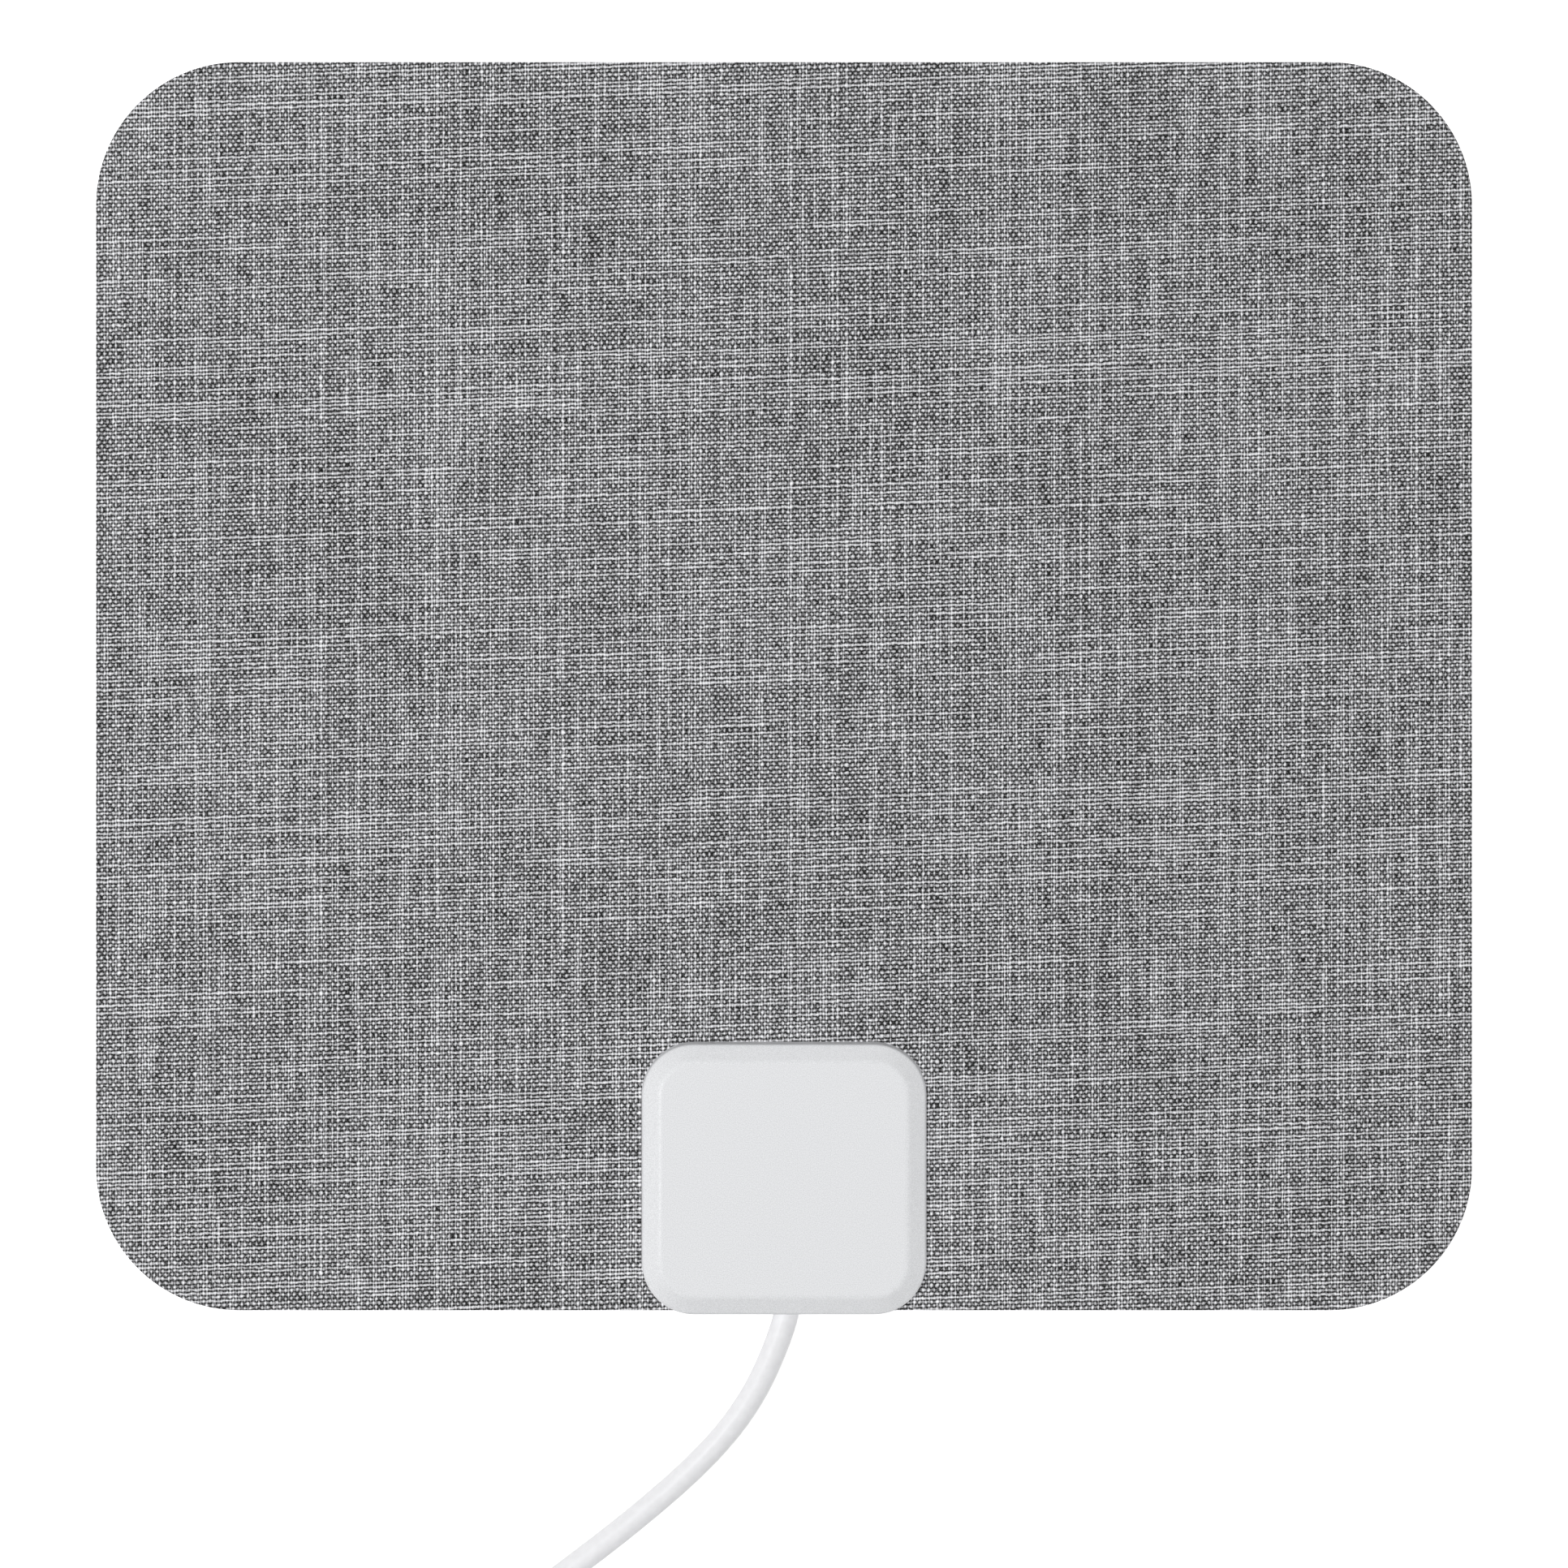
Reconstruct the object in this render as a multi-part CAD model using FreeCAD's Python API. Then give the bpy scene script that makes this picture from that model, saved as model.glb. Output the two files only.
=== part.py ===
import FreeCAD
import Part

import math
import os

# Flat indoor television antenna: a cloth-faced sheet with two foil elements inside, a moulded
# feed housing clamped on its lower edge, and a captive coaxial cable with a push-on plug.
# Millimetres. X runs along the lower edge, Y up the sheet and Z out of the cloth face.
# The sheet lies on its back, and the rear cover of the housing rests on Z = 0.

V = FreeCAD.Vector
UP = V(0, 0, 1)
TINY = 1e-6

# Sheet
PANEL_W = 210.0
PANEL_H = 190.5
PANEL_R = 21.8
BACK_SHEET_T = 0.6
CLOTH_T = 0.6

# Foil elements
FOIL_T = 0.1
FOIL_MARGIN = 8.0
FOIL_CORNER_R = 12.0
FOIL_STRIP = 13.0
FOIL_INNER_R = 3.0
FOIL_FEED_GAP = 8.0
FOIL_TOP_GAP = 12.0
FOIL_HOLE_MARGIN = 1.0
WING_ROOT = 30.0
WING_OUTER_X = 64.0
WING_LOW_Y = -24.0
WING_HIGH_Y = 36.0
WING_NOSE = 10.0

# Housing shells
HOUSING_W = 43.5
HOUSING_H = 41.4
HOUSING_OVERHANG = 0.4
HOUSING_R = 8.1
REAR_COVER_T = 2.0
REAR_EDGE_R = 1.2
FRONT_DEPTH = 8.0
DRAFT_INSET = 0.2
BEVEL_W = 2.7
BEVEL_DROP = 1.7
SHOULDER_R = 0.7
PLATEAU_EDGE_R = 1.6
WALL = 1.6
CEILING = 1.8

# Bosses, posts and ribs of the front shell
BOSS_D = 4.4
BOSS_INSET = 6.0
BOSS_HOLE_CLEARANCE = 0.2
RIB_T = 1.0
RIB_LIFT = 2.0
POST_D = 3.6
POST_SIDE_EDGE = 2.8
POST_TOP_EDGE = 3.4
GRIP_RIB_T = 1.0
GRIP_RIB_W = 9.0
GRIP_RIB_PITCH = 2.1
GRIP_RIB_BACK = 0.6
GRIP_CLEARANCE = 0.05

# Screws
SCREW_D = 1.9
SCREW_L = 7.0
SCREW_HEAD_D = 3.6
SCREW_HEAD_EDGE = 0.2
SCREW_SINK = 0.12
SCREW_CLEARANCE = 0.15
PILOT_CLEARANCE = 0.02
PILOT_EXTRA = 0.6
BOARD_SCREW_D = 1.5
BOARD_SCREW_L = 3.2
BOARD_SCREW_HEAD_D = 2.8
BOARD_SCREW_HEAD_H = 0.8
CROSS_W = 0.4
CROSS_REACH = 0.72
CROSS_DEPTH = 0.5

# Circuit board and contact springs
BOARD_R = 1.0
BOARD_T = 1.0
BOARD_LIFT = 1.5
BOARD_TOP_GAP = 1.6
BOARD_SIDE_GAP = 1.55
BOARD_JACKET_GAP = 2.05
NOTCH_CLEARANCE = 0.2
SPRING_T = 0.25
SPRING_W = 3.0
SPRING_FOOT_X = 2.6
SPRING_FOOT_L = 3.0
SPRING_REACH = 3.6
SPRING_LIP = 1.3
SPRING_LIP_RISE = 0.6
SPRING_BEND_R = 0.5
SPRING_CONTACT_R = 1.0
SPRING_SEAT_GAP = 0.02
SPRING_BOARD_Y = -1.5
WINDOW_MARGIN = 0.8
WINDOW_R = 0.8

# Balun
CORE_W = 6.4
CORE_H = 3.2
CORE_L = 5.0
CORE_HOLE_D = 1.6
CORE_HOLE_PITCH = 3.0
CORE_BOARD_Y = 4.6
CORE_SEAT_GAP = 0.02
WIRE_D = 0.34
WIRE_BEND_R = 0.3
WIRE_SPREAD = 0.3
WIRE_STEP = 0.4
ANTENNA_TURNS = 3
ANTENNA_REACH = 1.1
CABLE_TURNS = 2
CABLE_REACH = 0.6
WINDING_LEAD = 1.0

# Coaxial cable
CABLE_D = 3.8
BRAID_D = 2.9
DIELECTRIC_D = 2.3
CONDUCTOR_D = 0.6
BRAID_L = 4.4
DIELECTRIC_L = 5.2
CONDUCTOR_L = 7.8
CLIP_T = 0.3
CLIP_W = 2.0
CLIP_FOOT = 1.5
CLIP_EDGE_GAP = 1.0
CLIP_CLEARANCE = 0.02
EXIT_X = 0.58
EXIT_SLACK = 0.55
EXIT_CLEARANCE = 0.3

# Route of the cable: sideways and outward from the middle of the sheet's lower edge,
# with the share of the exit's height that is left at each point
LEAD_ROUTE = (
    (1.40, 11.75, 1.00),
    (1.40, 2.95, 1.00),
    (-1.28, -5.88, 0.90),
    (-5.70, -14.90, 0.58),
    (-12.75, -23.30, 0.24),
    (-23.70, -32.80, 0.00),
    (-34.80, -41.20, 0.00),
)
RUN_SHARE = 0.45

# Put-away coil, its tie and the tail to the plug
COIL_LAYERS = 4
COIL_TURNS_A_LAYER = 2.5
COIL_MEAN_R = 21.9
COIL_SLACK = 0.1
COIL_SPUR = 17.0
COIL_EDGE_R = 1.2
TIE_T = 0.5
TIE_ANGLE = 40.0
TIE_SPAN = 9.0
TAIL_ROUTE = (
    (0.0, 0.0, 1.00),
    (9.2, 0.0, 1.00),
    (19.4, -0.4, 0.52),
    (29.8, -1.0, 0.00),
    (39.0, -1.0, 0.00),
)

# Push-on coaxial plug, along its axis from the cable to the tip
PLUG_COLLAR_R = 6.0
PLUG_COLLAR_L = 3.0
PLUG_GRIP_L = 16.0
PLUG_GRIP_R = 5.3
PLUG_GRIP_WAIST_R = 4.6
PLUG_GROOVES = 5
PLUG_GROOVE_W = 1.2
PLUG_GROOVE_DEPTH = 0.4
PLUG_BOOT_L = 9.0
PLUG_BOOT_R = 2.8
PLUG_BOOT_ROOT_R = 3.6
PLUG_EDGE_R = 0.5
SLEEVE_R = 4.75
SLEEVE_WALL = 0.55
SLEEVE_L = 10.0
SLEEVE_CHAMFER = 0.3
SLEEVE_ROOT_STEP = 0.3
SLEEVE_ROOT_L = 4.0
SLEEVE_SLOTS = 4
SLEEVE_SLOT_W = 0.7
SLEEVE_SLOT_L = 5.5
INSULATOR_FRONT = 2.4
PIN_D = 2.35
PIN_RECESS = 0.6

# Levels and places that follow from the sizes above
SHEET_Z = REAR_COVER_T
FOIL_Z = SHEET_Z + BACK_SHEET_T
CLOTH_Z = FOIL_Z + CLOTH_T
FRONT_Z = CLOTH_Z + FRONT_DEPTH
SHOULDER_Z = FRONT_Z - BEVEL_DROP
CEILING_Z = FRONT_Z - CEILING
BOARD_Z = CLOTH_Z + BOARD_LIFT
BOARD_TOP = BOARD_Z + BOARD_T
CABLE_Z = BOARD_TOP + CONDUCTOR_D / 2
FLOOR_Z = CABLE_D / 2 + COIL_SLACK
EDGE_Y = -PANEL_H / 2
HOUSING_LOW_Y = EDGE_Y - HOUSING_OVERHANG
HOUSING_Y = HOUSING_LOW_Y + HOUSING_H / 2
JACKET_Y = EDGE_Y + LEAD_ROUTE[0][1]
CABLE_X = LEAD_ROUTE[0][0]
BOARD_EDGE_Y = JACKET_Y + BOARD_JACKET_GAP
BOARD_TOP_Y = HOUSING_LOW_Y + HOUSING_H - WALL - BOARD_TOP_GAP
BOARD_H = BOARD_TOP_Y - BOARD_EDGE_Y
BOARD_W = HOUSING_W - 2 * BOSS_INSET - BOSS_D - 2 * BOARD_SIDE_GAP
BOARD_Y = (BOARD_TOP_Y + BOARD_EDGE_Y) / 2
BOSS_HOLE_R = BOSS_D / 2 + BOSS_HOLE_CLEARANCE
BOSS_PLACES = [(sx * (HOUSING_W / 2 - BOSS_INSET), HOUSING_Y + sy * (HOUSING_H / 2 - BOSS_INSET))
               for sx in (-1, 1) for sy in (-1, 1)]
POST_PLACES = [(sx * (BOARD_W / 2 - POST_SIDE_EDGE), BOARD_TOP_Y - POST_TOP_EDGE) for sx in (-1, 1)]
SPRING_Y = BOARD_Y + SPRING_BOARD_Y
CONTACT_X = SPRING_FOOT_X + SPRING_FOOT_L + SPRING_REACH
COIL_OUTER_R = COIL_MEAN_R + CABLE_D * COIL_TURNS_A_LAYER / 2
COIL_INNER_R = COIL_MEAN_R - CABLE_D * COIL_TURNS_A_LAYER / 2
COIL_TOP_Z = FLOOR_Z + (COIL_LAYERS - 1) * CABLE_D


# Wires and simple solids

def corner_arc(before, corner, after, radius):
    """Start, middle and end of the arc that is tangent to both runs at a corner."""
    back = (before - corner).normalize()
    ahead = (after - corner).normalize()
    half = back.getAngle(ahead) / 2
    bisector = (back + ahead).normalize()
    tangent = radius / math.tan(half)
    middle = corner + bisector * (radius / math.sin(half) - radius)
    return corner + back * tangent, middle, corner + ahead * tangent


def blended_wire(points, radii, closed):
    """Straight runs with a tangent arc at each point whose radius isn't 0."""
    count = len(points)
    corners = []
    for i, point in enumerate(points):
        if radii[i] == 0:
            corners.append((point, None, point))
        else:
            corners.append(corner_arc(points[i - 1], point, points[(i + 1) % count], radii[i]))
    edges = []
    for i, (start, middle, end) in enumerate(corners):
        if middle is not None:
            edges.append(Part.Arc(start, middle, end).toShape())
        following = corners[(i + 1) % count][0]
        if (closed or i + 1 < count) and (following - end).Length > TINY:
            edges.append(Part.LineSegment(end, following).toShape())
    return Part.Wire(edges)


def rounded_rectangle(width, height, radius, centre):
    """A rectangle with round corners in the XY plane."""
    signs = ((-1, -1), (1, -1), (1, 1), (-1, 1))
    points = [centre + V(sx * width / 2, sy * height / 2, 0) for sx, sy in signs]
    return blended_wire(points, [radius] * 4, True)


def plate(width, height, radius, x, y, z, thickness):
    """A flat plate with round corners, its lower face at z."""
    wire = rounded_rectangle(width, height, radius, V(x, y, z))
    return Part.Face(wire).extrude(V(0, 0, thickness))


def pin(x, y, z, diameter, height):
    """An upright cylinder."""
    return Part.makeCylinder(diameter / 2, height, V(x, y, z))


def rod(start, direction, diameter, length):
    """A cylinder from a start point along a direction."""
    return Part.makeCylinder(diameter / 2, length, start, direction)


def turned(outline, radii, origin, axis):
    """The solid that a closed outline in the XZ plane sweeps about its Z axis, laid along an axis."""
    points = [V(r, 0, z) for r, z in outline]
    solid = Part.Face(blended_wire(points, radii, True)).revolve(V(0, 0, 0), UP, 360)
    solid.Placement = FreeCAD.Placement(origin, FreeCAD.Rotation(UP, axis))
    return solid


def swept(path, section):
    """The solid of a closed section carried along a path."""
    return path.makePipeShell([section], True, True)


def wire_solid(points, radii, diameter):
    """A round wire along straight runs with tangent arcs."""
    path = blended_wire(points, radii, False)
    circle = Part.Wire(Part.makeCircle(diameter / 2, points[0], points[1] - points[0]))
    return swept(path, circle)


def joined(solids):
    """One solid from solids that overlap or touch."""
    return solids[0].multiFuse(solids[1:]).removeSplitter().Solids[0]


def cross_recess(z, diameter):
    """The two crossed slots of a screw head, cut upwards from z."""
    reach = diameter * CROSS_REACH
    along = Part.makeBox(reach, CROSS_W, CROSS_DEPTH, V(-reach / 2, -CROSS_W / 2, z))
    across = Part.makeBox(CROSS_W, reach, CROSS_DEPTH, V(-CROSS_W / 2, -reach / 2, z))
    return along.fuse(across)


def carried_profile(profile, radii, width, height, radius):
    """A profile of inset and level, carried round a rounded rectangle and closed to a solid."""
    top = profile[-1][1]
    bottom = profile[0][1]
    points = [V(radius - inset, 0, level) for inset, level in profile] + [V(0, 0, top), V(0, 0, bottom)]
    face = Part.Face(blended_wire(points, list(radii) + [0, 0], True))
    quarter = face.revolve(V(0, 0, 0), UP, 90)
    a = width / 2 - radius
    b = height / 2 - radius
    solids = [Part.makeBox(2 * a, 2 * b, top - bottom, V(-a, -b, bottom))]
    corners = ((0, a, b, V(0, -2 * b, 0)), (90, -a, b, V(2 * a, 0, 0)),
               (180, -a, -b, V(0, 2 * b, 0)), (270, a, -b, V(-2 * a, 0, 0)))
    for turn, x, y, run in corners:
        place = FreeCAD.Placement(V(x, y, 0), FreeCAD.Rotation(UP, turn))
        solids.append(quarter.transformed(place.toMatrix()))
        solids.append(face.transformed(place.toMatrix()).extrude(run))
    return joined(solids)


# Sheet and foil

def boss_holes(z, height, radius):
    """Four upright cylinders where the bosses pass."""
    return [pin(x, y, z, 2 * radius, height) for x, y in BOSS_PLACES]


def foil_element(side):
    """One half of the receiving element: a loop arm round the sheet's edge and a tapered wing."""
    outer = PANEL_W / 2 - FOIL_MARGIN
    top = PANEL_H / 2 - FOIL_MARGIN
    low = min(y for x, y in BOSS_PLACES) + BOSS_HOLE_R + FOIL_HOLE_MARGIN
    feed = FOIL_FEED_GAP / 2
    strip_top = low + FOIL_STRIP
    outline = (
        (feed, low, FOIL_HOLE_MARGIN),
        (outer, low, FOIL_CORNER_R),
        (outer, top, FOIL_CORNER_R),
        (FOIL_TOP_GAP / 2, top, FOIL_HOLE_MARGIN),
        (FOIL_TOP_GAP / 2, top - FOIL_STRIP, FOIL_HOLE_MARGIN),
        (outer - FOIL_STRIP, top - FOIL_STRIP, FOIL_INNER_R),
        (outer - FOIL_STRIP, strip_top, FOIL_INNER_R),
        (feed + WING_ROOT, strip_top, FOIL_INNER_R),
        (WING_OUTER_X, WING_LOW_Y, FOIL_INNER_R),
        (WING_OUTER_X, WING_HIGH_Y, FOIL_INNER_R),
        (feed, strip_top + WING_NOSE, FOIL_INNER_R),
    )
    points = [V(side * x, y, FOIL_Z - FOIL_T) for x, y, radius in outline]
    wire = blended_wire(points, [radius for x, y, radius in outline], True)
    foil = Part.Face(wire).extrude(V(0, 0, FOIL_T))
    return foil.cut(boss_holes(SHEET_Z, BACK_SHEET_T, BOSS_HOLE_R + FOIL_HOLE_MARGIN))


def back_sheet(foils):
    """The carrier sheet, with the foil sunk flush in its front."""
    sheet = plate(PANEL_W, PANEL_H, PANEL_R, 0, 0, SHEET_Z, BACK_SHEET_T)
    return sheet.cut(foils + boss_holes(SHEET_Z, BACK_SHEET_T, BOSS_HOLE_R))


def cloth_face():
    """The cloth, with holes for the bosses and a window over each foil terminal."""
    cloth = plate(PANEL_W, PANEL_H, PANEL_R, 0, 0, FOIL_Z, CLOTH_T)
    width = SPRING_FOOT_L + SPRING_REACH + SPRING_LIP + 2 * WINDOW_MARGIN
    middle = SPRING_FOOT_X - WINDOW_MARGIN + width / 2
    height = SPRING_W + 2 * WINDOW_MARGIN
    windows = [plate(width, height, WINDOW_R, side * middle, SPRING_Y, FOIL_Z, CLOTH_T) for side in (-1, 1)]
    return cloth.cut(windows + boss_holes(FOIL_Z, CLOTH_T, BOSS_HOLE_R))


# Housing

def shell_outside():
    """The front shell's outside: drafted walls, a flat bevel and a flat front."""
    profile = ((0, CLOTH_Z), (DRAFT_INSET, SHOULDER_Z), (DRAFT_INSET + BEVEL_W, FRONT_Z))
    radii = (0, SHOULDER_R, PLATEAU_EDGE_R)
    solid = carried_profile(profile, radii, HOUSING_W, HOUSING_H, HOUSING_R)
    solid.translate(V(0, HOUSING_Y, 0))
    return solid


def shell_cavity():
    """The hollow of the front shell, its bevel parallel to the one outside."""
    slope = BEVEL_DROP / BEVEL_W
    drop = WALL * math.sqrt(1 + slope * slope)
    inner_shoulder = SHOULDER_Z + WALL * slope - drop
    inner_bevel = (CEILING_Z - inner_shoulder) / slope
    profile = ((0, CLOTH_Z - 1), (DRAFT_INSET, inner_shoulder), (DRAFT_INSET + inner_bevel, CEILING_Z))
    width = HOUSING_W - 2 * WALL
    height = HOUSING_H - 2 * WALL
    solid = carried_profile(profile, (0, 0, 0), width, height, HOUSING_R - WALL)
    solid.translate(V(0, HOUSING_Y, 0))
    return solid


def boss_ribs():
    """Two ribs from each boss to the walls beside it."""
    ribs = []
    low = CLOTH_Z + RIB_LIFT
    tall = CEILING_Z + CEILING / 2 - low
    reach = BOSS_INSET - WALL / 2
    for x, y in BOSS_PLACES:
        sx = math.copysign(1, x)
        sy = math.copysign(1, y - HOUSING_Y)
        ribs.append(Part.makeBox(reach, RIB_T, tall, V(min(x, x + sx * reach), y - RIB_T / 2, low)))
        ribs.append(Part.makeBox(RIB_T, reach, tall, V(x - RIB_T / 2, min(y, y + sy * reach), low)))
    return ribs


def grip_ribs():
    """Two ribs that press on the cable's jacket, just behind its stripped end."""
    ribs = []
    tall = CEILING_Z + CEILING / 2 - CABLE_Z
    for step in (0, 1):
        y = JACKET_Y - GRIP_RIB_BACK - GRIP_RIB_T - step * GRIP_RIB_PITCH
        rib = Part.makeBox(GRIP_RIB_W, GRIP_RIB_T, tall, V(CABLE_X - GRIP_RIB_W / 2, y, CABLE_Z))
        bore = rod(V(CABLE_X, y - 1, CABLE_Z), V(0, 1, 0), CABLE_D + 2 * GRIP_CLEARANCE, GRIP_RIB_T + 2)
        ribs.append(rib.cut(bore))
    return ribs


def cable_exit():
    """The oblong hole for the cable through the shell's lower wall."""
    width = CABLE_D + 2 * EXIT_SLACK
    height = CABLE_D + 2 * EXIT_CLEARANCE
    wire = rounded_rectangle(width, height, height / 2, V(0, 0, 0))
    hole = Part.Face(wire).extrude(V(0, 0, WALL + 2))
    start = V(EXIT_X, HOUSING_LOW_Y + WALL + 1, CABLE_Z)
    hole.Placement = FreeCAD.Placement(start, FreeCAD.Rotation(V(1, 0, 0), 90))
    return hole


def housing_front():
    """The moulded front shell with its bosses, posts, ribs and cable exit."""
    outside = shell_outside()
    shell = outside.cut(shell_cavity())
    root = CEILING_Z + CEILING / 2
    solids = [pin(x, y, REAR_COVER_T, BOSS_D, root - REAR_COVER_T) for x, y in BOSS_PLACES]
    solids += [pin(x, y, BOARD_TOP, POST_D, root - BOARD_TOP) for x, y in POST_PLACES]
    solids += [rib.common(outside) for rib in boss_ribs() + grip_ribs()]
    shell = joined([shell] + solids)
    pilot_l = SCREW_SINK + SCREW_L + PILOT_EXTRA - REAR_COVER_T
    board_pilot_l = BOARD_SCREW_L + PILOT_EXTRA - BOARD_T
    cuts = [pin(x, y, REAR_COVER_T, SCREW_D + 2 * PILOT_CLEARANCE, pilot_l) for x, y in BOSS_PLACES]
    for x, y in POST_PLACES:
        cuts.append(pin(x, y, BOARD_TOP, BOARD_SCREW_D + 2 * PILOT_CLEARANCE, board_pilot_l))
    return shell.cut(cuts + [cable_exit()])


def countersink_outline(gap):
    """Half section of a countersunk screw from its head's face, widened by a gap all round."""
    head = SCREW_HEAD_D / 2 + gap
    shank = SCREW_D / 2 + gap
    cone = SCREW_HEAD_EDGE + head - shank
    return head, shank, cone


def housing_rear():
    """The rear cover with its rounded edge and four countersunk holes."""
    profile = ((2 * REAR_EDGE_R, 0), (0, 0), (0, REAR_COVER_T))
    cover = carried_profile(profile, (0, REAR_EDGE_R, 0), HOUSING_W, HOUSING_H, HOUSING_R)
    cover.translate(V(0, HOUSING_Y, 0))
    head, shank, cone = countersink_outline(SCREW_CLEARANCE)
    sink = SCREW_SINK + cone
    outline = ((0, -1), (head, -1), (head, SCREW_SINK + SCREW_HEAD_EDGE), (shank, sink),
               (shank, REAR_COVER_T + 1), (0, REAR_COVER_T + 1))
    holes = [turned(outline, [0] * 6, V(x, y, 0), UP) for x, y in BOSS_PLACES]
    return cover.cut(holes)


def housing_screws():
    """Four countersunk screws that draw the rear cover to the bosses."""
    head, shank, cone = countersink_outline(0)
    outline = ((0, 0), (head, 0), (head, SCREW_HEAD_EDGE), (shank, cone),
               (shank, SCREW_L - SCREW_D / 4), (shank / 2, SCREW_L), (0, SCREW_L))
    screw = turned(outline, [0] * 7, V(0, 0, 0), UP).cut(cross_recess(0, SCREW_HEAD_D))
    return Part.makeCompound([screw.translated(V(x, y, SCREW_SINK)) for x, y in BOSS_PLACES])


# Board and springs

def circuit_board():
    """The board with its screw holes and the notch for the cable's braid."""
    board = plate(BOARD_W, BOARD_H, BOARD_R, 0, BOARD_Y, BOARD_Z, BOARD_T)
    cuts = [pin(x, y, BOARD_Z, BOARD_SCREW_D + 2 * SCREW_CLEARANCE, BOARD_T) for x, y in POST_PLACES]
    width = BRAID_D + 2 * NOTCH_CLEARANCE
    end = JACKET_Y + max(BRAID_L, DIELECTRIC_L) + NOTCH_CLEARANCE
    cuts.append(Part.makeBox(width, end - BOARD_EDGE_Y + 1, BOARD_T,
                             V(CABLE_X - width / 2, BOARD_EDGE_Y - 1, BOARD_Z)))
    return board.cut(cuts)


def board_screws():
    """Two pan head screws from under the board into the posts."""
    radius = BOARD_SCREW_D / 2
    head = BOARD_SCREW_HEAD_D / 2
    outline = ((0, -BOARD_SCREW_HEAD_H), (head, -BOARD_SCREW_HEAD_H), (head, 0), (radius, 0),
               (radius, BOARD_SCREW_L - radius / 2), (radius / 2, BOARD_SCREW_L), (0, BOARD_SCREW_L))
    radii = (0, BOARD_SCREW_HEAD_H / 2, 0, 0, 0, 0, 0)
    screw = turned(outline, radii, V(0, 0, 0), UP).cut(cross_recess(-BOARD_SCREW_HEAD_H, BOARD_SCREW_HEAD_D))
    return Part.makeCompound([screw.translated(V(x, y, BOARD_Z)) for x, y in POST_PLACES])


def contact_spring(side):
    """A leaf spring from a soldered foot under the board down to the foil terminal."""
    high = BOARD_Z - SPRING_T / 2
    low = FOIL_Z + SPRING_T / 2 + SPRING_SEAT_GAP
    heel = SPRING_FOOT_X + SPRING_FOOT_L
    points = (V(side * SPRING_FOOT_X, SPRING_Y, high), V(side * heel, SPRING_Y, high),
              V(side * CONTACT_X, SPRING_Y, low),
              V(side * (CONTACT_X + SPRING_LIP), SPRING_Y, low + SPRING_LIP_RISE))
    path = blended_wire(points, (0, SPRING_BEND_R, SPRING_CONTACT_R, 0), False)
    corners = ((-1, -1), (1, -1), (1, 1), (-1, 1))
    section = [points[0] + V(0, sy * SPRING_W / 2, sz * SPRING_T / 2) for sy, sz in corners]
    return swept(path, Part.makePolygon(section + section[:1]))


# Balun

def balun_core():
    """The two-hole ferrite core, its holes along Y."""
    wire = rounded_rectangle(CORE_W, CORE_H, CORE_H / 2, V(0, 0, 0))
    core = Part.Face(wire).extrude(V(0, 0, CORE_L))
    holes = [pin(side * CORE_HOLE_PITCH / 2, 0, 0, CORE_HOLE_D, CORE_L) for side in (-1, 1)]
    core = core.cut(holes)
    y = BOARD_Y + CORE_BOARD_Y + CORE_L / 2
    z = BOARD_TOP + CORE_SEAT_GAP + CORE_H / 2
    core.Placement = FreeCAD.Placement(V(0, y, z), FreeCAD.Rotation(V(1, 0, 0), 90))
    return core


def winding(turns, spread, reach, lead_side):
    """One continuous wire through both holes, its turns stacked upwards, its ends on the board."""
    middle_y = BOARD_Y + CORE_BOARD_Y
    middle_z = BOARD_TOP + CORE_SEAT_GAP + CORE_H / 2
    near = middle_y + lead_side * (CORE_L / 2 + reach)
    far = middle_y - lead_side * (CORE_L / 2 + reach)
    pad = near + lead_side * WINDING_LEAD
    pad_z = BOARD_TOP + WIRE_D / 2 + CORE_SEAT_GAP
    x = CORE_HOLE_PITCH / 2 + spread
    first = middle_z - (turns - 1) * WIRE_STEP / 2
    points = [V(-x, pad, pad_z), V(-x, near, pad_z)]
    for turn in range(turns):
        level = first + turn * WIRE_STEP
        points += [V(-x, near, level), V(-x, far, level), V(x, far, level), V(x, near, level)]
    points += [V(x, near, pad_z), V(x, pad, pad_z)]
    radii = [0] + [WIRE_BEND_R] * (len(points) - 2) + [0]
    return wire_solid(points, radii, WIRE_D)


# Stripped end of the cable

def cable_braid():
    """The braid between the jacket's end and the dielectric's end."""
    start = V(CABLE_X, JACKET_Y, CABLE_Z)
    along = V(0, 1, 0)
    return rod(start, along, BRAID_D, BRAID_L).cut(rod(start, along, DIELECTRIC_D, BRAID_L))


def cable_dielectric():
    """The dielectric round the conductor."""
    start = V(CABLE_X, JACKET_Y, CABLE_Z)
    along = V(0, 1, 0)
    return rod(start, along, DIELECTRIC_D, DIELECTRIC_L).cut(rod(start, along, CONDUCTOR_D, DIELECTRIC_L))


def cable_conductor():
    """The centre conductor, out to its pad on the board."""
    return rod(V(CABLE_X, JACKET_Y, CABLE_Z), V(0, 1, 0), CONDUCTOR_D, CONDUCTOR_L)


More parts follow.
